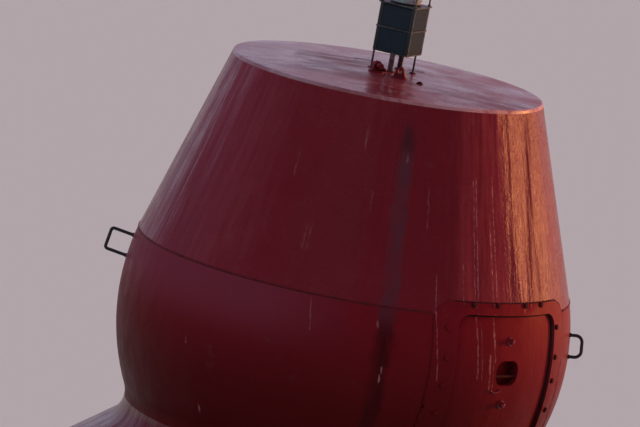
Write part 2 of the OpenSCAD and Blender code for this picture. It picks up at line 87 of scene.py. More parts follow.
# The deck's crown, the radius of each foot's weld and the places of the feet that are not mid-box
DECK_CROWN = 0.028
FEET = {"leg_left": 0.0145, "leg_right": 0.0145, "leg_front": 0.0225, "leg_back": 0.0225,
        "lifting_eye_left": 0.0385, "lifting_eye_right": 0.0385}
FEET_AT = {"lifting_eye_left": (-0.062, -0.150), "lifting_eye_right": (0.052, -0.214)}
# How many ballast sections there are, the foot and top of a mooring lug's root, and the solar pack's turn
# and width
BALLAST_COUNT = 8
LUG_ROOT = (0.327, 0.481)
PACK_TURN = 22.0
PACK_W = 0.182

# The photograph's camera, with the eye placed from the seam's centre
FOCAL_PIXELS = 6252.4
PHOTO_WIDTH = 640
SENSOR = 36.0
CAMERA_DISTANCE = 30.233
CAMERA_FALL = 9.21
CAMERA_ROLL = 10.28
CAMERA_SHIFT = (0.16546, 0.23941)
CAMERA_REACH = 400


def smooth(mesh, angle):
    """Smooth shading with the edges sharper than angle kept."""
    mesh.polygons.foreach_set("use_smooth", [True] * len(mesh.polygons))
    mesh.set_sharp_from_angle(angle=math.radians(angle))


# Node trees

def tree_of(name):
    mat = bpy.data.materials.new(name)
    mat.use_nodes = True
    shader = mat.node_tree.nodes["Principled BSDF"]
    return mat, mat.node_tree, shader


def new(tree, kind, inputs=(), **settings):
    """A node with its settings and inputs, each input a number, a colour or another node's socket."""
    made = tree.nodes.new(kind)
    for key, value in settings.items():
        setattr(made, key, value)
    for key, value in dict(inputs).items():
        if isinstance(value, bpy.types.NodeSocket):
            tree.links.new(value, made.inputs[key])
        else:
            made.inputs[key].default_value = value
    return made


def calc(tree, operation, *values):
    return new(tree, "ShaderNodeMath", enumerate(values), operation=operation).outputs[0]


def times(tree, first, second):
    return calc(tree, "MULTIPLY", first, second)


def plus(tree, first, second):
    return calc(tree, "ADD", first, second)


def minus(tree, first, second):
    return calc(tree, "SUBTRACT", first, second)


def larger(tree, first, second):
    return calc(tree, "MAXIMUM", first, second)


def ramp(tree, value, low, high, to_low=0.0, to_high=1.0):
    """A soft step from to_low at low to to_high at high."""
    made = new(tree, "ShaderNodeMapRange", {0: value, 1: low, 2: high, 3: to_low, 4: to_high},
               interpolation_type="SMOOTHSTEP")
    return made.outputs[0]


def blend(tree, share, below, above):
    """The colour below, covered by the one above to a share."""
    made = new(tree, "ShaderNodeMix", {0: share, 6: below, 7: above}, data_type="RGBA")
    return made.outputs[2]


def clouds(tree, vector, scale, detail=3.0, rough=0.55):
    return new(tree, "ShaderNodeTexNoise", {"Vector": vector, "Scale": scale, "Detail": detail,
                                            "Roughness": rough}).outputs["Fac"]


def bump(tree, height, distance, normal=None):
    """A normal raised by height times distance, over an earlier normal."""
    inputs = {"Height": height, "Distance": distance, "Strength": 1.0}
    if normal is not None:
        inputs["Normal"] = normal
    return new(tree, "ShaderNodeBump", inputs).outputs[0]


def object_place(tree):
    """The place in the frame's own axes, because every piece's origin is the frame's."""
    return new(tree, "ShaderNodeTexCoord").outputs["Object"]


def split(tree, place):
    return new(tree, "ShaderNodeSeparateXYZ", {0: place}).outputs


def round_axis(tree):
    """The place in the frame, the azimuth in degrees, the height, and the way round the body in metres."""
    place = object_place(tree)
    parts = split(tree, place)
    turn = calc(tree, "ARCTAN2", parts[0], times(tree, parts[1], -1.0))
    return place, times(tree, turn, 180 / math.pi), parts[2], times(tree, turn, BODY_R)


def from_axis(tree, place):
    """The distance from the frame's upright axis."""
    parts = split(tree, place)
    flat = new(tree, "ShaderNodeCombineXYZ", {0: parts[0], 1: parts[1], 2: 0.0}).outputs[0]
    return new(tree, "ShaderNodeVectorMath", {0: flat}, operation="LENGTH").outputs["Value"]


def stretched(tree, along, height, squeeze):
    """Coordinates in which a noise runs in long vertical streaks."""
    upward = times(tree, height, squeeze)
    return new(tree, "ShaderNodeCombineXYZ", {0: along, 1: upward, 2: 0.0}).outputs[0]


def window(tree, value, middle, half, soft):
    """One inside middle plus or minus half, falling to nothing over soft."""
    away = calc(tree, "ABSOLUTE", minus(tree, value, middle))
    return ramp(tree, away, half + soft, half)


def connect(tree, shader, colour, rough, normal):
    """Gives a shader its colour, roughness and normal."""
    tree.links.new(colour, shader.inputs["Base Color"])
    tree.links.new(rough, shader.inputs["Roughness"])
    tree.links.new(normal, shader.inputs["Normal"])


def rgb(red, green, blue):
    return (red, green, blue, 1.0)


# Painted shadow left of the lifting eye and water stains on the deck: x, y, half sizes in x and y, strength
DECK_STAINS_AND_SHADOW = [
    (-0.37, 0.06, 0.07, 0.10, 0.45),
    (-0.20, 0.10, 0.13, 0.07, 0.55),
    (-0.115, 0.16, 0.05, 0.05, 0.95),
    (-0.16, -0.20, 0.22, 0.16, 0.40),
    (0.13, 0.13, 0.03, 0.03, 0.90),
    (0.45, -0.40, 0.20, 0.10, 0.30),
]
# Runs on the paint: azimuth at the seam, top rise, bottom rise, half width in degrees, strength
RUNS = [
    (-23.0, 0.61, 0.51, 0.14, 0.16),
    (-14.9, 0.30, 0.19, 0.12, 0.18),
    (-13.6, 0.30, 0.19, 0.12, 0.20),
    (-9.6, -0.02, -0.16, 0.12, 0.22),
    (-2.6, 0.78, 0.70, 0.16, 0.30),
    (2.0, 0.49, 0.43, 0.16, 0.28),
    (8.5, -0.29, -0.30, 0.14, 0.60),
    (7.9, -0.33, -0.345, 0.14, 0.55),
    (7.4, -0.08, -0.09, 0.16, 0.30),
    (-44.1, -0.36, -0.37, 0.16, 0.35),
    (-41.1, -0.67, -0.69, 0.20, 0.45),
    (11.5, 0.685, 0.667, 0.22, 0.35),
    (19.3, 0.54, 0.38, 0.14, 0.16),
    (22.8, 0.16, -0.30, 0.11, 0.34),
    (30.9, 0.22, 0.06, 0.10, 0.32),
    (34.6, 0.60, 0.05, 0.09, 0.34),
    (35.6, 0.62, 0.07, 0.13, 0.40),
    (35.2, 0.00, -0.29, 0.13, 0.34),
    (36.6, -0.05, -0.30, 0.09, 0.22),
    (40.6, 0.45, 0.06, 0.10, 0.34),
    (42.0, 0.62, 0.07, 0.12, 0.36),
    (40.8, 0.00, -0.21, 0.14, 0.46),
    (39.2, -0.19, -0.34, 0.18, 0.46),
    (40.3, -0.22, -0.33, 0.09, 0.30),
    (53.1, 0.23, 0.08, 0.16, 0.50),
    (55.0, 0.19, 0.05, 0.14, 0.45),
    (-63.0, 0.55, 0.10, 0.20, 0.20),
    (118.0, 0.70, -0.10, 0.25, 0.25),
    (163.0, 0.40, -0.35, 0.22, 0.28),
    (-140.0, 0.75, 0.05, 0.25, 0.25),
]
# How far a run drifts from its meridian, in degrees a metre, above and below the seam
DRIFT_ABOVE = 1.5
DRIFT_BELOW = 8.0

# Colours of the paint, from fresh to worn, of the light and shade painted on it, and of what lies on it
RED = rgb(0.125, 0.0080, 0.0140)
RED_DEEP = rgb(0.092, 0.0055, 0.0095)
# Darker red, painted shade low on the body
RED_LOW_SHADE = rgb(0.056, 0.0026, 0.0030)
RED_BLEACHED = rgb(0.130, 0.0230, 0.0400)
# Worn red, also laid on as painted sunlight on the lit side
RED_WORN_AND_LIT = rgb(0.170, 0.015, 0.018)
# Chalk, also laid on as painted sheen beside the hatch
CHALK_AND_SHEEN = rgb(0.36, 0.20, 0.21)
# Pale rim: rubbed paint and painted highlight
PALE_EDGE = rgb(0.40, 0.25, 0.27)
# Painted reflection: the dark band's grey, and the dark that band shares with the seam's joint line
REFLECTION_GREY = rgb(0.070, 0.017, 0.027)
DARK_JOINT_AND_REFLECTION = rgb(0.034, 0.0034, 0.0042)
# Painted sky reflection on the deck
SKY_SHEEN = rgb(0.34, 0.34, 0.39)
# Grime, and painted shadow on the deck
GRIME_AND_SHADOW = rgb(0.020, 0.012, 0.012)
SLIME = rgb(0.030, 0.036, 0.016)

# The dark band of painted reflection down the front: middle, half width and soft edge by azimuth, the
# rises where its top fades, and its blot
REFLECTION_BAND = (10.1, 1.4, 1.9)
REFLECTION_BAND_TOP = (0.86, 0.70)
REFLECTION_BLOT = (9.7, 0.5, 1.6)
REFLECTION_BLOT_RISE = (0.755, 0.035, 0.06)
# Where the body is bleached under the seam: middle, half and soft edge by azimuth and by rise, and the back
BLEACHED_FRONT = (-52.0, 26.0, 34.0)
BLEACHED_BACK = (84.0, 120.0)
BLEACHED_RISE = (-0.02, 0.06, 0.24)
# Where the body has painted sheen, in chalk, beside the hatch: the azimuths and rises between which it
# comes and goes
SHEEN_FROM = (60.0, 71.0)
SHEEN_TO = (128.0, 78.0)
SHEEN_RISE = (-0.7, -0.1)
# Where little wear shows, on the shaded front, and where streaks of worn red are laid on as painted
# sunlight: middle, half and soft edge by azimuth
SHADED = (-34.0, 50.0, 26.0)
SUNLIT_STREAKS = (38.0, 5.0, 7.0)
# Heights over the float's foot between which the slime ends
SLIME_END = (0.52, 0.40)

# A fold in the plating on the lit side: azimuth of its edge from FOLD_HIGH up, how far that leans on the
# way down to the seam, azimuth of its foot at the seam, how far that leans in degrees a metre, and depth
FOLD_HIGH = 0.55
FOLD_EDGE = 47.0
EDGE_LEAN = 4.6
FOLD_FOOT = 52.5
FOOT_LEAN = 9.0
FOLD_DEPTH = 0.013
# Rises between which the fold begins over the seam, azimuths between which it ends, and azimuths between
# which the rubbing and the orange peel begin
FOLD_RISE = (0.01, 0.08)
FOLD_END = (78.0, 66.0)
RUBBED_FROM = (41.0, 51.0)
PEEL_FROM = (40.0, 50.0)
GLOSS_IOR = 1.5


def weathered_red(tree, azimuth, rise, patches, mottle, streaks, weather):
    """The red, darker low on the body as painted shade, bleached and chalky in places, with painted sheen
    in chalk beside the hatch, and streaked where it has worn, more on the lit side as painted sunlight.
    """
    colour = blend(tree, ramp(tree, patches, 0.35, 0.68, 0.0, 0.45), RED, RED_DEEP)
    # Painted shade: darker towards the bottom of the body
    colour = blend(tree, ramp(tree, rise, 0.0, -0.62, 0.0, 0.9), colour, RED_LOW_SHADE)
    around = larger(tree, window(tree, azimuth, *BLEACHED_FRONT),
                    ramp(tree, calc(tree, "ABSOLUTE", azimuth), *BLEACHED_BACK))
    shoulder = times(tree, window(tree, rise, *BLEACHED_RISE), around)
    colour = blend(tree, times(tree, shoulder, 0.9 * (1 - weather)), colour, RED_BLEACHED)
    # Painted sheen: chalk on the lit body beside the hatch
    chalk_sheen = times(tree, ramp(tree, azimuth, *SHEEN_FROM), ramp(tree, azimuth, *SHEEN_TO))
    chalk_sheen = times(tree, chalk_sheen, ramp(tree, rise, *SHEEN_RISE, 0.0, 0.11 * (1 - weather)))
    colour = blend(tree, chalk_sheen, colour, CHALK_AND_SHEEN)
    # Painted sunlight: streaks of worn red beside the edge of the lit side
    sunlit_share = times(tree, window(tree, azimuth, *SUNLIT_STREAKS), ramp(tree, streaks, 0.30, 0.62, 0.25, 1.0))
    colour = blend(tree, times(tree, sunlit_share, 0.60 * weather), colour, RED_WORN_AND_LIT)
    # Worn streaks, faint on the shaded front; on the lit side they also stand as painted sunlight
    lively = ramp(tree, window(tree, azimuth, *SHADED), 0.0, 1.0, 1.0, 0.08)
    shown = times(tree, lively, 0.06 + 0.30 * weather)
    colour = blend(tree, times(tree, ramp(tree, streaks, 0.50, 0.74), shown), colour, RED_WORN_AND_LIT)
    return blend(tree, ramp(tree, mottle, 0.62, 0.80, 0.0, 0.05), colour, CHALK_AND_SHEEN)


def painted_reflection_band(tree, azimuth, rise, along, height, mottle):
    """How much the dark band of painted reflection down the front covers, with the blot near its top."""
    wobble = times(tree, minus(tree, mottle, 0.5), 5.0)
    reflection_band = window(tree, plus(tree, azimuth, wobble), *REFLECTION_BAND)
    gaps = clouds(tree, stretched(tree, along, height, 0.35), 11.0, 3.0)
    broken = ramp(tree, gaps, 0.30, 0.62, 0.35, 1.0)
    reflection_band = times(tree, times(tree, reflection_band, ramp(tree, rise, *REFLECTION_BAND_TOP)), broken)
    return larger(tree, reflection_band, times(tree, window(tree, azimuth, *REFLECTION_BLOT), window(tree, rise, *REFLECTION_BLOT_RISE)))


def reflection_band_tone(tree, rise):
    """The painted reflection band's colour, grey above the seam, and dark below it and at the blot."""
    tone = blend(tree, ramp(tree, rise, 0.00, -0.16), REFLECTION_GREY, DARK_JOINT_AND_REFLECTION)
    return blend(tree, ramp(tree, rise, 0.66, 0.74, 0.0, 0.7), tone, DARK_JOINT_AND_REFLECTION)


def pale_runs(tree, place, azimuth, rise):
    """How much the pale runs cover, each a little off its meridian."""
    drift = plus(tree, azimuth, times(tree, larger(tree, rise, 0.0), DRIFT_ABOVE))
    drift = plus(tree, drift, times(tree, calc(tree, "MINIMUM", rise, 0.0), DRIFT_BELOW))
    jitter = clouds(tree, place, 22.0, 4.0, 0.6)
    drift = plus(tree, drift, times(tree, minus(tree, jitter, 0.5), 0.9))
    runs = None
    for at, top, low, half, strength in RUNS:
        run = window(tree, drift, at, half, half)
        run = times(tree, run, window(tree, rise, (top + low) / 2, (top - low) / 2, 0.02))
        run = times(tree, run, strength)
        runs = run if runs is None else larger(tree, runs, run)
    return times(tree, runs, ramp(tree, clouds(tree, place, 38.0, 3.0), 0.38, 0.60, 0.15, 1.0))


def slime_stain(tree, place, height, mottle):
    """How much slime and weed cover, from the waterline down."""
    line = plus(tree, height, times(tree, mottle, 0.10))
    stain = ramp(tree, line, FLOAT_Z + SLIME_END[0], FLOAT_Z + SLIME_END[1], 0.0, 0.82)
    return times(tree, stain, ramp(tree, clouds(tree, place, 15.0, 6.0, 0.65), 0.25, 0.60, 0.55, 1.0))


def plating_fold(tree, azimuth, rise):
    """The height of the fold in the plating on the lit side, as a share of its depth."""
    edge = ramp(tree, rise, FOLD_HIGH, 0.0, FOLD_EDGE, FOLD_EDGE + EDGE_LEAN)
    foot = plus(tree, times(tree, rise, FOOT_LEAN), FOLD_FOOT)
    share = calc(tree, "DIVIDE", minus(tree, azimuth, edge), minus(tree, foot, edge))
    fold = plus(tree, ramp(tree, share, 0.0, 1.0, 0.0, -1.0),
                ramp(tree, minus(tree, azimuth, foot), 0.0, 4.5, 0.0, 0.9))
    return times(tree, fold, times(tree, ramp(tree, rise, *FOLD_RISE), ramp(tree, azimuth, *FOLD_END)))


def hull_paint(name, specular, dullness, weather):
    """Red gelcoat with a dark band of painted reflection, runs, slime and wear, as weathered as weather
    says.
    """
    mat, tree, shader = tree_of(name)
    place, azimuth, height, along = round_axis(tree)
    rise = minus(tree, height, SEAM_Z)
    streaks = clouds(tree, stretched(tree, along, height, 0.035), 26.0, 4.0, 0.6)
    fine = clouds(tree, stretched(tree, along, height, 0.05), 95.0, 3.0, 0.6)
    ridges = clouds(tree, stretched(tree, along, height, 0.16), 4.2, 3.0, 0.5)
    patches = clouds(tree, place, 1.6, 4.0)
    mottle = clouds(tree, place, 9.0, 5.0, 0.6)
    peel = clouds(tree, place, 62.0, 2.0)

    reflection_band = painted_reflection_band(tree, azimuth, rise, along, height, mottle)
    runs = pale_runs(tree, place, azimuth, rise)
    stain = slime_stain(tree, place, height, mottle)
    colour = weathered_red(tree, azimuth, rise, patches, mottle, streaks, weather)
    # Painted reflection: the dark band down the front
    colour = blend(tree, times(tree, reflection_band, 0.92), colour, reflection_band_tone(tree, rise))
    colour = blend(tree, runs, colour, CHALK_AND_SHEEN)
    colour = blend(tree, stain, colour, SLIME)

    dull = larger(tree, times(tree, stain, 0.6), times(tree, runs, 0.35))
    dull = larger(tree, dull, times(tree, reflection_band, 0.12))
    rough = plus(tree, ramp(tree, mottle, 0.3, 0.7, dullness, dullness + 0.12), dull)
    shader.inputs["IOR"].default_value = GLOSS_IOR
    shader.inputs["Specular IOR Level"].default_value = specular

    # Dents, ridges, the fold, streaks where the paint is rubbed, and orange peel
    rubbed = times(tree, ramp(tree, azimuth, *RUBBED_FROM, 0.12, 1.0), weather)
    peeled = ramp(tree, azimuth, *PEEL_FROM, 0.25, weather)
    normal = bump(tree, clouds(tree, place, 2.6, 2.0), 0.012)
    normal = bump(tree, ridges, 0.004 + 0.024 * weather, normal)
    normal = bump(tree, plating_fold(tree, azimuth, rise), FOLD_DEPTH, normal)
    normal = bump(tree, clouds(tree, place, 11.0, 3.0), 0.0022, normal)
    normal = bump(tree, times(tree, streaks, rubbed), 0.0056, normal)
    normal = bump(tree, times(tree, fine, rubbed), 0.0022, normal)
    normal = bump(tree, times(tree, peel, peeled), 0.0028, normal)
    normal = bump(tree, runs, 0.0008, normal)
    connect(tree, shader, colour, rough, normal)
    return mat


def plain_paint(name, tint, dullness, line=None):
    """Dark paint or sealant without gloss, for thin seams and for beads dark as painted shade, darkest in a
    line at a height.
    """
    mat, tree, shader = tree_of(name)
    place = object_place(tree)
    dirt = clouds(tree, place, 30.0, 5.0, 0.6)
    colour = blend(tree, ramp(tree, dirt, 0.4, 0.7, 0.0, 0.6), tint, GRIME_AND_SHADOW)
    if line is not None:
        mark = times(tree, window(tree, split(tree, place)[2], line, 0.0012, 0.0016), 0.70)
        colour = blend(tree, mark, colour, DARK_JOINT_AND_REFLECTION)
    rough = ramp(tree, dirt, 0.3, 0.7, dullness, dullness + 0.2)
    shader.inputs["Specular IOR Level"].default_value = 0.15
    connect(tree, shader, colour, rough, bump(tree, clouds(tree, place, 120.0, 3.0), 0.0004))
    return mat


def deck_stains_and_shadow(tree, parts, waves):
    """How much the dark marks cover: painted shadow left of the lifting eye, and water stains in front of
    it.
    """
    stains_and_shadow = None
    for x, y, half_x, half_y, strength in DECK_STAINS_AND_SHADOW:
        stain = times(tree, window(tree, parts[0], x, half_x, half_x * 0.6),
                      window(tree, parts[1], y, half_y, half_y))
        stain = times(tree, stain, strength)
        stains_and_shadow = stain if stains_and_shadow is None else larger(tree, stains_and_shadow, stain)
    return times(tree, stains_and_shadow, ramp(tree, waves, 0.36, 0.56))


def rim_wear_and_highlight(tree, place, azimuth, height):
    """How pale the deck's rim is, as rubbed paint and painted highlight, least at the front left."""
    rim = larger(tree, ramp(tree, from_axis(tree, place), DECK_R - 0.016, DECK_R - 0.006),
                 ramp(tree, height, RIM_Z - 0.002, RIM_Z - 0.006))
    rim = times(tree, rim, ramp(tree, azimuth, -25.0, 30.0, 0.08, 1.0))
    return times(tree, rim, ramp(tree, clouds(tree, place, 20.0, 4.0), 0.30, 0.52, 0.30, 0.85))


def deck_paint():
    """The same red on the deck, with painted sky reflection, stains, painted shadow, scuffs and a pale rim.
    """
    mat, tree, shader = tree_of("deck_paint")
    place, azimuth, height, along = round_axis(tree)
    parts = split(tree, place)
    patches = clouds(tree, place, 3.2, 5.0, 0.6)
    scuffs = clouds(tree, stretched(tree, along, height, 1.0), 14.0, 5.0, 0.65)
    mottle = clouds(tree, place, 16.0, 5.0, 0.6)
    flow = new(tree, "ShaderNodeCombineXYZ", {0: times(tree, parts[0], 0.30), 1: parts[1]}).outputs[0]
    waves = clouds(tree, flow, 13.0, 4.0, 0.55)
    colour = blend(tree, ramp(tree, patches, 0.35, 0.65, 0.0, 0.6), RED, RED_WORN_AND_LIT)
    colour = blend(tree, ramp(tree, mottle, 0.50, 0.75, 0.0, 0.40), colour, CHALK_AND_SHEEN)
    colour = blend(tree, ramp(tree, scuffs, 0.60, 0.72, 0.0, 0.5), colour, GRIME_AND_SHADOW)

    # A pale film of painted sky reflection, thickest on the left
    sky_sheen_share = times(tree, ramp(tree, parts[0], 0.0, -0.50, 0.02, 0.40),
                 ramp(tree, patches, 0.30, 0.60, 0.6, 1.0))
    colour = blend(tree, sky_sheen_share, colour, SKY_SHEEN)
    stains_and_shadow = deck_stains_and_shadow(tree, parts, waves)
    # Painted shadow and water stains
    colour = blend(tree, stains_and_shadow, colour, GRIME_AND_SHADOW)
    # Rubbed paint and painted highlight on the rim
    colour = blend(tree, rim_wear_and_highlight(tree, place, azimuth, height), colour, PALE_EDGE)
    rough = plus(tree, ramp(tree, patches, 0.3, 0.7, 0.18, 0.38), times(tree, stains_and_shadow, 0.30))
    shader.inputs["IOR"].default_value = GLOSS_IOR
    normal = bump(tree, clouds(tree, place, 3.5, 2.0), 0.008)
    normal = bump(tree, waves, 0.0050, normal)
    normal = bump(tree, clouds(tree, place, 14.0, 3.0), 0.0016, normal)
    normal = bump(tree, clouds(tree, place, 90.0, 3.0), 0.0002, normal)
    connect(tree, shader, colour, rough, normal)
    return mat


def painted_steel(name, paint, worn, rust, rust_share, slime_top=None):
    """Painted steel with rust at its blisters, and slime below a height."""
    mat, tree, shader = tree_of(name)
    place = object_place(tree)
    patches = clouds(tree, place, 6.0, 4.0)
    blisters = clouds(tree, place, 38.0, 6.0, 0.65)
    colour = blend(tree, ramp(tree, patches, 0.4, 0.7, 0.0, 0.7), paint, worn)
    both = times(tree, blisters, plus(tree, patches, 0.5))
    rusty = ramp(tree, both, 0.64 - rust_share * 0.3, 0.72 - rust_share * 0.3, 0.0, 0.95)
    colour = blend(tree, rusty, colour, rust)
    rough = ramp(tree, rusty, 0.0, 1.0, 0.34, 0.82)
    if slime_top is not None:
        line = plus(tree, split(tree, place)[2], times(tree, patches, 0.2))
        slime = times(tree, ramp(tree, line, slime_top + 0.1, slime_top),
                      ramp(tree, blisters, 0.3, 0.6, 0.45, 0.95))
        colour = blend(tree, slime, colour, SLIME)
        rough = larger(tree, rough, times(tree, slime, 0.8))
    normal = bump(tree, blisters, 0.0012)
    connect(tree, shader, colour, rough, bump(tree, clouds(tree, place, 240.0, 3.0), 0.0002, normal))
    return mat


def bare_metal(name, tint, dark, least_rough, most_rough, grain=70.0):
    """Galvanised or weathered bare metal, with its spangle."""
    mat, tree, shader = tree_of(name)
    place = object_place(tree)
    spangle = new(tree, "ShaderNodeTexVoronoi", {"Vector": place, "Scale": grain}).outputs["Color"]
    spangle = new(tree, "ShaderNodeSeparateColor", {0: spangle}).outputs[0]
    stain = clouds(tree, place, 30.0, 5.0, 0.65)
    colour = blend(tree, ramp(tree, stain, 0.40, 0.72), tint, dark)
    colour = blend(tree, times(tree, spangle, 0.25), colour, dark)
    rough = ramp(tree, stain, 0.3, 0.7, least_rough, most_rough)
    shader.inputs["Metallic"].default_value = 0.85
    normal = bump(tree, stain, 0.0006)
    connect(tree, shader, colour, rough, bump(tree, clouds(tree, place, 400.0, 2.0), 0.0001, normal))
    return mat


def plastic(name, tint, dirty, dullness):
    """Moulded plastic with dirt in patches."""
    mat, tree, shader = tree_of(name)
    place = object_place(tree)
    dirt = clouds(tree, place, 22.0, 5.0, 0.6)
    colour = blend(tree, ramp(tree, dirt, 0.45, 0.75, 0.0, 0.6), tint, dirty)
    rough = ramp(tree, dirt, 0.3, 0.7, dullness, dullness + 0.15)
    connect(tree, shader, colour, rough, bump(tree, clouds(tree, place, 500.0, 2.0), 0.00008))
    return mat


def solar_glass():
    """Dark cells under dull glass, with thin bus lines."""
    bus_pitch = 0.0265
    mat, tree, shader = tree_of("solar_glass")
    place = object_place(tree)
    shade = clouds(tree, place, 40.0, 3.0)
    colour = blend(tree, shade, rgb(0.016, 0.026, 0.038), rgb(0.020, 0.031, 0.043))
    wave = calc(tree, "FRACT", times(tree, split(tree, place)[2], 1 / bus_pitch))
    bus = window(tree, wave, 0.5, 0.02, 0.02)
    colour = blend(tree, times(tree, bus, 0.16), colour, rgb(0.05, 0.06, 0.06))
    dust = ramp(tree, clouds(tree, place, 14.0, 5.0, 0.6), 0.42, 0.75, 0.0, 0.14)
    colour = blend(tree, dust, colour, rgb(0.040, 0.055, 0.050))
    tree.links.new(colour, shader.inputs["Base Color"])
    tree.links.new(plus(tree, 0.24, dust), shader.inputs["Roughness"])
    shader.inputs["Specular IOR Level"].default_value = 0.05
    return mat


def lens_plastic():
    """The lantern's red lens, hazed."""
    mat, tree, shader = tree_of("lens_plastic")
    haze = clouds(tree, object_place(tree), 30.0, 4.0)
    colour = blend(tree, haze, rgb(0.62, 0.010, 0.014), rgb(0.42, 0.008, 0.012))
    tree.links.new(colour, shader.inputs["Base Color"])
    tree.links.new(ramp(tree, haze, 0.3, 0.7, 0.06, 0.16), shader.inputs["Roughness"])
    shader.inputs["Transmission Weight"].default_value = 0.55
    shader.inputs["IOR"].default_value = 1.49
    return mat


# Painted steel: paint, worn paint, rust, how far the rust has spread, and the slime's top if it has any
STEELS = {
    "skirt_paint": (rgb(0.10, 0.012, 0.015), rgb(0.07, 0.014, 0.014), rgb(0.085, 0.030, 0.012), 0.35,
                    FLOAT_Z + 0.2),
    "fitting_paint": (rgb(0.095, 0.006, 0.009), rgb(0.055, 0.005, 0.008), rgb(0.060, 0.020, 0.010), 0.12),
    "iron": (rgb(0.050, 0.038, 0.032), rgb(0.036, 0.028, 0.024), rgb(0.095, 0.040, 0.018), 0.8, 0.6),
    "black_bar": (rgb(0.012, 0.012, 0.014), rgb(0.020, 0.018, 0.019), rgb(0.05, 0.022, 0.014), 0.1),
    "pack_paint": (rgb(0.009, 0.016, 0.018), rgb(0.014, 0.021, 0.021), rgb(0.05, 0.025, 0.015), 0.05),
}
# Bare metal: bright and stained colour, least and most roughness, and how many spangles a metre
METALS = {
    "zinc": (rgb(0.33, 0.34, 0.35), rgb(0.16, 0.15, 0.14), 0.42, 0.62),
    "stand_steel": (rgb(0.21, 0.20, 0.20), rgb(0.09, 0.07, 0.07), 0.38, 0.58),
    "alloy": (rgb(0.15, 0.18, 0.18), rgb(0.06, 0.07, 0.07), 0.42, 0.60, 30.0),
}
# Every look by its name, where a paint's numbers are its gloss, its dullness and how weathered it is
MATERIALS = {
    "hull_paint": hull_paint("hull_paint", 0.5, 0.20, 1.0),
    "body_paint": hull_paint("body_paint", 0.045, 0.34, 0.12),
    "seam_dark": plain_paint("seam_dark", rgb(0.040, 0.0050, 0.0055), 0.6),
    "seam_paint": plain_paint("seam_paint", rgb(0.108, 0.0076, 0.0130), 0.45, SEAM_Z - 0.001),
    # Dark enough to stand as painted shade in the gap round the hatch's pan
    "shade_gasket": plain_paint("shade_gasket", rgb(0.016, 0.0060, 0.0050), 0.7),
    "deck_paint": deck_paint(),
    "solar_glass": solar_glass(),
    "lamp_grey": plastic("lamp_grey", rgb(0.21, 0.26, 0.29), rgb(0.12, 0.14, 0.15), 0.42),
    "lens_plastic": lens_plastic(),
}
MATERIALS.update({name: painted_steel(name, *row) for name, row in STEELS.items()})
MATERIALS.update({name: bare_metal(name, *row) for name, row in METALS.items()})

# The CAD nodes that wear each look
NODE_LOOKS = {
    "hull_paint": ["upper_shell", "float_collar"],
    "body_paint": ["lower_shell", "hatch_cover"],
    "seam_paint": ["seam_strip"],
    "seam_dark": ["filling_plug", "hatch_grip"],
    "deck_paint": ["deck"],
    "skirt_paint": ["skirt", "brackets", "mooring_lug_left", "mooring_lug_right"],
    "fitting_paint": ["lifting_eye_left", "lifting_eye_right", "lifting_bow", "lifting_pin"],
    "iron": ["ballast_ring"],
    "black_bar": ["handle_left", "handle_right"],
    "zinc": ["mooring_bow_left", "mooring_pin_left", "mooring_bow_right", "mooring_pin_right"],
    "stand_steel": ["leg_left", "leg_right", "leg_front", "leg_back", "bird_spike", "corner_rods"],
    "pack_paint": ["pack_core", "corner_angles"],
    "alloy": ["top_plate", "pack_ledge", "pack_tray"],
    "solar_glass": ["panels_low", "panels_high"],
    "lamp_grey": ["lamp_body", "lamp_cap"],
    "lens_plastic": ["lamp_lens"],
}


def dress_nodes():
    """Gives every CAD node its look in place of the frame's plain one."""
    for look, nodes in NODE_LOOKS.items():
        for name in nodes:
            obj = frame["nodes"][name]
            obj.data.materials.clear()
            obj.data.materials.append(MATERIALS[look])


# Shapes

def mesh_object(name, bm, look, body="hull", angle=30):
    """A piece in one paint that rides on a body, with edges sharper than angle kept."""
    mesh = bpy.data.meshes.new(name)
    bmesh.ops.recalc_face_normals(bm, faces=bm.faces)
    bm.to_mesh(mesh)
    bm.free()
    obj = bpy.data.objects.new(name, mesh)
    bpy.context.scene.collection.objects.link(obj)
    mesh.materials.append(MATERIALS[look])
    smooth(mesh, angle)
    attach(obj, body)


def hull_r(z):
    """Radius of the body or can at a height."""
    if z >= SEAM_Z:
        return SEAM_R - (z - SEAM_Z) * CAN_TAPER
    return math.sqrt(BODY_R ** 2 - (z - BODY_Z) ** 2)


def axis_turn(azimuth):
    return Matrix.Rotation(math.radians(azimuth), 4, "Z")


def on_hull(azimuth, rise, lift=0.0):
    """A place on the hull and the surface's normal there."""
    z = SEAM_Z + rise
    tilt = CAN_LEAN if z >= SEAM_Z else math.asin((z - BODY_Z) / BODY_R)
    turn = axis_turn(azimuth)
    normal = turn @ Vector((0, -math.cos(tilt), math.sin(tilt)))
    return turn @ Vector((0, -hull_r(z), z)) + normal * lift, normal


def on_hatch(side, rise, lift=0.0):
    """A place on the hull beside the hatch's middle by side, seen square to the hatch."""
    azimuth = HATCH_AZ + math.degrees(math.asin(side / hull_r(SEAM_Z + rise)))
    return on_hull(azimuth, rise, lift)


def frame_at(place, normal):
    """A matrix whose z is the normal, at a place."""
    return Matrix.Translation(place) @ normal.to_track_quat("Z", "Y").to_matrix().to_4x4()


def add_ring(bm, profile, sides, matrix, turn=0.0):
    """A lathe of radius and height pairs round the matrix's z, closed at both ends."""
    rings = []
    for r, h in profile:
        ring = []
        for i in range(sides):
            a = 2 * math.pi * (i + turn) / sides
            ring.append(bm.verts.new(matrix @ Vector((r * math.cos(a), r * math.sin(a), h))))
        rings.append(ring)
    for low, high in zip(rings, rings[1:]):
        for i in range(sides):
            bm.faces.new((low[i], low[(i + 1) % sides], high[(i + 1) % sides], high[i]))
    bm.faces.new(rings[0][::-1])
    bm.faces.new(rings[-1])


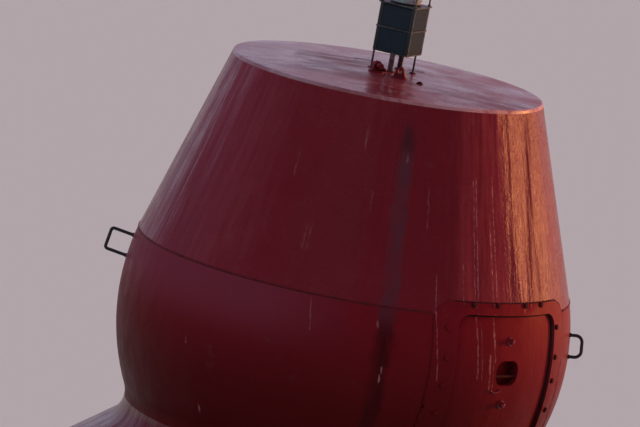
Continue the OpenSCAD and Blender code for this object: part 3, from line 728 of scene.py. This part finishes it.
def add_bolt(bm, matrix, flats, head, washer):
    """A hexagon head with a turned edge, on its washer."""
    r = flats / math.sqrt(3)
    turn = random.random()
    add_ring(bm, [(washer, -0.001), (washer, 0.0018), (washer * 0.93, 0.0026)], 20, matrix)
    add_ring(bm, [(r, 0.0020), (r, head * 0.82), (r * 0.86, head)], 6, matrix, turn)


# A bead's sides, the step along it and the angle over which its edges stay sharp, and a ripple's noise
# scale, the size of its wave and the wave's step from ring to ring
TUBE_SIDES = 8
BEAD_STEP = 0.016
BEAD_ANGLE = 80
RIPPLE_SCALE = 60.0
RIPPLE_WAVE = 0.6
RIPPLE_STEP = 1.9


def add_tube(bm, points, radius, closed=False, ripple=0.0):
    """A round bead along points, with its radius rippled like a weld or sealant."""
    count = len(points)
    turns = [2 * math.pi * k / TUBE_SIDES for k in range(TUBE_SIDES)]
    rings = []
    for i, p in enumerate(points):
        ahead = points[(i + 1) % count] if closed or i + 1 < count else p
        behind = points[i - 1] if closed or i else p
        along = (ahead - behind).normalized()
        upright = abs(along.z) > 0.99
        side = (along.orthogonal() if upright else along.cross(Vector((0, 0, 1)))).normalized()
        up = side.cross(along)
        wave = noise.noise(p * RIPPLE_SCALE) + RIPPLE_WAVE * math.sin(i * RIPPLE_STEP)
        r = radius * (1 + ripple * wave)
        rings.append([bm.verts.new(p + (side * math.cos(a) + up * math.sin(a)) * r) for a in turns])
    pairs = list(zip(rings, rings[1:])) + ([(rings[-1], rings[0])] if closed else [])
    for low, high in pairs:
        for k in range(TUBE_SIDES):
            after = (k + 1) % TUBE_SIDES
            bm.faces.new((low[k], low[after], high[after], high[k]))
    if not closed:
        bm.faces.new(rings[0][::-1])
        bm.faces.new(rings[-1])


def stepped(corners, step):
    """Points about step apart along the closed line through the corners."""
    points = []
    for (x0, z0), (x1, z1) in zip(corners, corners[1:] + corners[:1]):
        parts = max(1, int(math.hypot(x1 - x0, z1 - z0) / step))
        points += [(x0 + (x1 - x0) * k / parts, z0 + (z1 - z0) * k / parts) for k in range(parts)]
    return points


def rounded_outline(half, top, low, corner):
    """Points round a rectangle with round corners, about a bead's step apart, as side and rise."""
    across, upper, lower = half - corner, top - corner, low + corner
    turns = max(4, int(corner * math.pi / 2 / BEAD_STEP))
    middles = [(across, upper), (-across, upper), (-across, lower), (across, lower)]
    points = []
    for quarter, (x, z) in enumerate(middles):
        for k in range(turns + 1):
            a = math.radians(90 * (quarter + k / turns))
            points.append((x + corner * math.cos(a), z + corner * math.sin(a)))
    return stepped(points, BEAD_STEP)


# The hatch's bolts by side and rise along its right, top, left and bottom edges, and the nuts in its pan
RIGHT_BOLTS = [(0.362, -0.063), (0.368, -0.205), (0.372, -0.320), (0.383, -0.467), (0.383, -0.590)]
TOP_BOLTS = [(-0.256, 0.050), (-0.113, 0.052), (0.076, 0.050), (0.206, 0.050)]
LEFT_BOLTS = [(-0.398, rise) for rise in (-0.061, -0.200, -0.332, -0.467, -0.590)]
LOW_BOLTS = [(side, (PAN_LOW + FLANGE_LOW) / 2) for side in (-0.240, -0.080, 0.080, 0.240)]
LUGS = [(-0.012, -0.112), (-0.012, -0.420)]
# A bolt's width across flats, its head's height and its washer's radius
HATCH_BOLT = (0.021, 0.0095, 0.0138)
BALLAST_BOLT = (0.030, 0.014, 0.022)

# The raised lip under the hand cup: middle of its arc by side and rise, half sizes, the arc's start, end
# and step in degrees, lift from the pan's floor, and radius
LIP = (-0.075, -0.340)
LIP_HALF = (0.034, 0.020)
LIP_ARC = (200, 340, 10)
LIP_LIFT = 0.002
LIP_R = 0.0048

# Beads on the flange's edge, the dark one painted shade: how far past it they lie, the side past which the
# dark one ends at the top left, the side and rise past which it starts on the right, each one's lift,
# radius and look, and ripple
EDGE_OUT = 0.001
DARK_LEFT = -0.34
DARK_RIGHT = 0.40
DARK_LOW = -0.25
DARK_BEAD = (0.0022, 0.0046, "seam_dark")
PAINTED_BEAD = (0.0012, 0.0075, "body_paint")
BEAD_RIPPLE = 0.15
# The dark rubber ring in the pan, painted shade in the gap round its floor
GASKET_R = 0.0042
GASKET_RIPPLE = 0.05

# Welds: radius and ripple at the deck's feet and at the lugs, how high the first lie, and the others' step
FOOT_WELD = (0.0028, 0.25)
LUG_WELD = (0.0050, 0.20)
FOOT_WELD_LIFT = 0.0008
LUG_WELD_STEP = 0.008

# The lantern's foot: lift, radius and overhang of its rubber ring, and how high its screws are
RING_LIFT = 0.0042
RING_R = 0.0040
RING_OUT = 0.0008
LAMP_SCREWS = 6
LAMP_SCREW_RISE = 0.022

# Small screws as radius and height pairs, how far in from the pack's corners its screws are, and at what
# shares of a corner angle's length
PACK_SCREW = [(0.0034, -0.001), (0.0034, 0.0012), (0.0020, 0.0022)]
LAMP_SCREW = [(0.0045, -0.001), (0.0045, 0.0016), (0.0028, 0.0028)]
SCREW_INSET = 0.009
SCREW_SHARES = (0.07, 0.41, 0.59, 0.93)

# The deck's crown is part of a sphere of this radius
CROWN_R = (DECK_R ** 2 + DECK_CROWN ** 2) / (2 * DECK_CROWN)


def hatch_bolts():
    """The bolts round the flange; those on the shaded side are painted over."""
    for name, places, look in (("hatch_bolts", RIGHT_BOLTS + TOP_BOLTS + LOW_BOLTS, "seam_dark"),
                               ("hatch_bolts_painted", LEFT_BOLTS, "body_paint")):
        bm = bmesh.new()
        for side, rise in places:
            add_bolt(bm, frame_at(*on_hatch(side, rise, FLANGE_T)), *HATCH_BOLT)
        mesh_object(name, bm, look)


def hatch_lugs():
    """The two larger domed nuts in the pan."""
    bm = bmesh.new()
    for side, rise in LUGS:
        matrix = frame_at(*on_hatch(side, rise, -PAN_DEPTH))
        add_ring(bm, [(0.022, -0.002), (0.022, 0.003), (0.020, 0.005)], 28, matrix)
        add_ring(bm, [(0.015, 0.004), (0.015, 0.015), (0.013, 0.020), (0.007, 0.024)], 6, matrix, 0.3)
    mesh_object("hatch_lugs", bm, "hull_paint")


def hatch_lip():
    """The small raised lip under the hand cup."""
    start, end, step = LIP_ARC
    points = []
    for degrees in range(start, end + 1, step):
        a = math.radians(degrees)
        side = LIP[0] + LIP_HALF[0] * math.cos(a)
        rise = LIP[1] + LIP_HALF[1] * math.sin(a)
        points.append(on_hatch(side, rise, LIP_LIFT - PAN_DEPTH)[0])
    bm = bmesh.new()
    add_tube(bm, points, LIP_R)
    mesh_object("hatch_lip", bm, "hull_paint", angle=BEAD_ANGLE)


def sealant_and_shade_beads():
    """Beads on the flange's edge, dark along its top and upper right as painted shade, painted along the
    rest.
    """
    edge = rounded_outline(FLANGE_HALF + EDGE_OUT, FLANGE_TOP + EDGE_OUT, FLANGE_LOW - EDGE_OUT,
                           FLANGE_CORNER)
    start = next(i for i, (x, z) in enumerate(edge) if x < DARK_LEFT and z > 0)
    edge = edge[start:] + edge[:start]
    end = next(i for i, (x, z) in enumerate(edge) if x > DARK_RIGHT and z > DARK_LOW)
    painted, dark = edge[:end + 1], edge[end:] + edge[:1]
    # The dark bead is painted shade along the flange's top and upper right
    beads = (("hatch_shade_bead", dark, DARK_BEAD), ("hatch_fairing", painted, PAINTED_BEAD))
    for name, points, (lift, r, look) in beads:
        bm = bmesh.new()
        add_tube(bm, [on_hatch(x, z, lift)[0] for x, z in points], r, ripple=BEAD_RIPPLE)
        mesh_object(name, bm, look, angle=BEAD_ANGLE)


def hatch_shade_gasket():
    """The dark rubber ring round the pan's floor, its darkness painted shade in the gap there."""
    r = GASKET_R
    edge = rounded_outline(PAN_HALF - r, PAN_TOP - r, PAN_LOW + r, PAN_CORNER - r)
    bm = bmesh.new()
    add_tube(bm, [on_hatch(x, z, r * 0.5 - PAN_DEPTH)[0] for x, z in edge], r, True, GASKET_RIPPLE)
    mesh_object("hatch_shade_gasket", bm, "shade_gasket", angle=BEAD_ANGLE)


def deck_z(r):
    """Height of the crowned deck at a distance from the axis."""
    return RIM_Z + DECK_CROWN - CROWN_R + math.sqrt(CROWN_R ** 2 - r ** 2)


def ring_points(x, y, r, count=28):
    turns = (2 * math.pi * i / count for i in range(count))
    return [(x + r * math.cos(a), y + r * math.sin(a)) for a in turns]


def deck_welds(bm):
    """Rippled weld round the eyes' and legs' feet on the deck."""
    for name, r in FEET.items():
        low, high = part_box(name)
        x, y = FEET_AT.get(name, ((low.x + high.x) / 2, (low.y + high.y) / 2))
        points = []
        for px, py in ring_points(x, y, r):
            points.append(Vector((px, py, deck_z(math.hypot(px, py)) + FOOT_WELD_LIFT)))
        add_tube(bm, points, FOOT_WELD[0], True, FOOT_WELD[1])


def lug_welds(bm):
    """Rippled weld round the mooring lugs' roots."""
    low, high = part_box("mooring_lug_right")
    half = (high.y - low.y) / 2
    foot, top = LUG_ROOT
    root = stepped([(-half, foot), (half, foot), (half, top), (-half, top)], LUG_WELD_STEP)
    for side in (-1, 1):
        x = side * math.sqrt(SKIRT_R ** 2 - half ** 2)
        add_tube(bm, [Vector((x, y, z)) for y, z in root], LUG_WELD[0], True, LUG_WELD[1])


def weld_beads():
    """All the welds, as one piece."""
    bm = bmesh.new()
    deck_welds(bm)
    lug_welds(bm)
    mesh_object("weld_beads", bm, "fitting_paint", angle=BEAD_ANGLE)


def ballast_bolts():
    """Two bolts on washers on the outside of each ballast section."""
    bm = bmesh.new()
    low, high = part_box("ballast_ring")
    r = high.x - 0.0005
    for i in range(BALLAST_COUNT):
        for share in (0.22, 0.78):
            turn = axis_turn(90 + 360 * (i + share) / BALLAST_COUNT)
            normal = turn @ Vector((0, -1, 0))
            place = turn @ Vector((0, -r, (low.z + high.z) / 2))
            add_bolt(bm, frame_at(place, normal), *BALLAST_BOLT)
    mesh_object("ballast_bolts", bm, "iron")


def pack_place(x, y, z):
    """A place given in the solar pack's own turned axes."""
    own = axis_turn(-PACK_TURN) @ Vector((x, y, z))
    return own + Vector((LAMP_X, 0, 0))


def pack_screws():
    """Pan-head screws down both legs of the solar pack's corner angles."""
    bm = bmesh.new()
    low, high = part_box("corner_angles")
    half = PACK_W / 2
    for face in range(4):
        turn = axis_turn(90 * face)
        normal = axis_turn(-PACK_TURN) @ turn @ Vector((0, -1, 0))
        for x in (SCREW_INSET - half, half - SCREW_INSET):
            for share in SCREW_SHARES:
                z = low.z + (high.z - low.z) * share
                place = pack_place(*(turn @ Vector((x, -half, z))))
                add_ring(bm, PACK_SCREW, 10, frame_at(place, normal))
    mesh_object("pack_screws", bm, "alloy")


def lamp_gasket():
    """The rubber ring under the lamp."""
    bm = bmesh.new()
    low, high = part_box("lamp_body")
    r = (high.x - low.x) / 2 + RING_OUT
    points = [Vector((x, y, low.z + RING_LIFT)) for x, y in ring_points(LAMP_X, 0.0, r, 48)]
    add_tube(bm, points, RING_R, True)
    mesh_object("lamp_gasket", bm, "black_bar", angle=BEAD_ANGLE)


def lamp_screws():
    """Small screws round the lamp's foot, set into its side."""
    bm = bmesh.new()
    low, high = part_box("lamp_body")
    r = (high.x - low.x) / 2 - 0.0004
    for i in range(LAMP_SCREWS):
        normal = axis_turn(360 * (i + 0.5) / LAMP_SCREWS) @ Vector((0, -1, 0))
        place = Vector((LAMP_X, 0, low.z + LAMP_SCREW_RISE)) + normal * r
        add_ring(bm, LAMP_SCREW, 12, frame_at(place, normal))
    mesh_object("lamp_screws", bm, "stand_steel")


# The floor's half width and colour
FLOOR_HALF = 300.0
FLOOR_TONE = rgb(0.51, 0.62, 0.62)


def floor():
    """The pale floor that the buoy stands on."""
    signs = ((-1, -1), (1, -1), (1, 1), (-1, 1))
    mesh = bpy.data.meshes.new("floor")
    mesh.from_pydata([(x * FLOOR_HALF, y * FLOOR_HALF, 0) for x, y in signs], [], [(0, 1, 2, 3)])
    obj = bpy.data.objects.new("floor", mesh)
    bpy.context.scene.collection.objects.link(obj)
    mat, tree, shader = tree_of("floor_pale")
    shader.inputs["Base Color"].default_value = FLOOR_TONE
    shader.inputs["Roughness"].default_value = 0.95
    shader.inputs["Specular IOR Level"].default_value = 0.1
    mesh.materials.append(mat)


# The dome's colours: before the buoy, at its sides, low behind it and low on the lit side
DOME_FRONT = rgb(0.045, 0.042, 0.070)
DOME_SIDES = rgb(0.30, 0.17, 0.31)
DOME_BEHIND = rgb(0.55, 0.52, 0.67)
DOME_WARM = rgb(1.00, 0.40, 0.36)


def world():
    """A soft dome, pale low behind the buoy and dim behind the camera."""
    sky = bpy.data.worlds.new("studio")
    bpy.context.scene.world = sky
    sky.use_nodes = True
    tree = sky.node_tree
    way = split(tree, new(tree, "ShaderNodeTexCoord").outputs["Generated"])
    low = ramp(tree, way[2], 0.70, 0.10)
    behind = times(tree, ramp(tree, way[1], 0.50, 1.0), low)
    lit = times(tree, ramp(tree, way[0], 0.0, 0.50), times(tree, low, ramp(tree, way[1], 0.20, 0.60)))
    tone = blend(tree, ramp(tree, way[1], -0.60, 0.50), DOME_FRONT, DOME_SIDES)
    tone = blend(tree, behind, tone, DOME_BEHIND)
    tone = blend(tree, lit, tone, DOME_WARM)
    tree.links.new(tone, tree.nodes["Background"].inputs["Color"])


# The lamps: azimuth and elevation each shines from, strength, colour, and softness in degrees
LAMPS = {
    "low_sun": (122, 7, 6.0, (1.0, 0.42, 0.13), 12),
    "warm_side": (78, 12, 0.85, (1.0, 0.24, 0.10), 40),
    "sun_glint": (121, 9, 0.47, (1.0, 0.40, 0.11), 14),
    "front_fill": (-18, 48, 1.05, (0.94, 0.94, 1.0), 50),
    "left_fill": (-95, 35, 0.8, (0.88, 0.90, 1.0), 50),
}
# The lamp that gives highlights and nothing else, as the others give none
SHINE_LAMP = "sun_glint"
LAMP_DISTANCE = 20


def lights():
    """Far soft lamps round the buoy."""
    for name, (azimuth, elevation, strength, colour, softness) in LAMPS.items():
        data = bpy.data.lights.new(name, "SUN")
        data.energy = strength
        data.color = colour
        data.angle = math.radians(softness)
        obj = bpy.data.objects.new(name, data)
        bpy.context.scene.collection.objects.link(obj)
        high = math.radians(elevation)
        away = axis_turn(azimuth) @ Vector((0, -math.cos(high), math.sin(high)))
        obj.location = away * LAMP_DISTANCE
        obj.rotation_mode = "QUATERNION"
        obj.rotation_quaternion = away.to_track_quat("Z", "Y")
        obj.visible_glossy = name == SHINE_LAMP
        obj.visible_diffuse = name != SHINE_LAMP


def camera():
    """The eye that gives the photograph's picture, rolled by the buoy's heel."""
    fall, roll = math.radians(CAMERA_FALL), math.radians(CAMERA_ROLL)
    right = Vector((1, 0, 0))
    forward = Vector((0, math.cos(fall), -math.sin(fall)))
    down = forward.cross(right)
    x_axis = right * math.cos(roll) - down * math.sin(roll)
    y_axis = right * math.sin(roll) + down * math.cos(roll)
    turn = Matrix((x_axis, -y_axis, -forward)).transposed()
    offset = x_axis * CAMERA_SHIFT[0] + y_axis * CAMERA_SHIFT[1] + forward * CAMERA_DISTANCE
    data = bpy.data.cameras.new("photo_camera")
    data.sensor_width = SENSOR
    data.lens = FOCAL_PIXELS / PHOTO_WIDTH * SENSOR
    data.clip_end = CAMERA_REACH
    obj = bpy.data.objects.new("photo_camera", data)
    bpy.context.scene.collection.objects.link(obj)
    obj.matrix_world = Matrix.Translation(Vector((0, 0, SEAM_Z)) - offset) @ turn.to_4x4()
    bpy.context.scene.camera = obj


random.seed(7)
bpy.context.scene.view_settings.view_transform = "Standard"
camera()
dress_nodes()
hatch_bolts()
hatch_lugs()
hatch_lip()
sealant_and_shade_beads()
hatch_shade_gasket()
weld_beads()
ballast_bolts()
pack_screws()
lamp_gasket()
lamp_screws()
floor()
world()
lights()
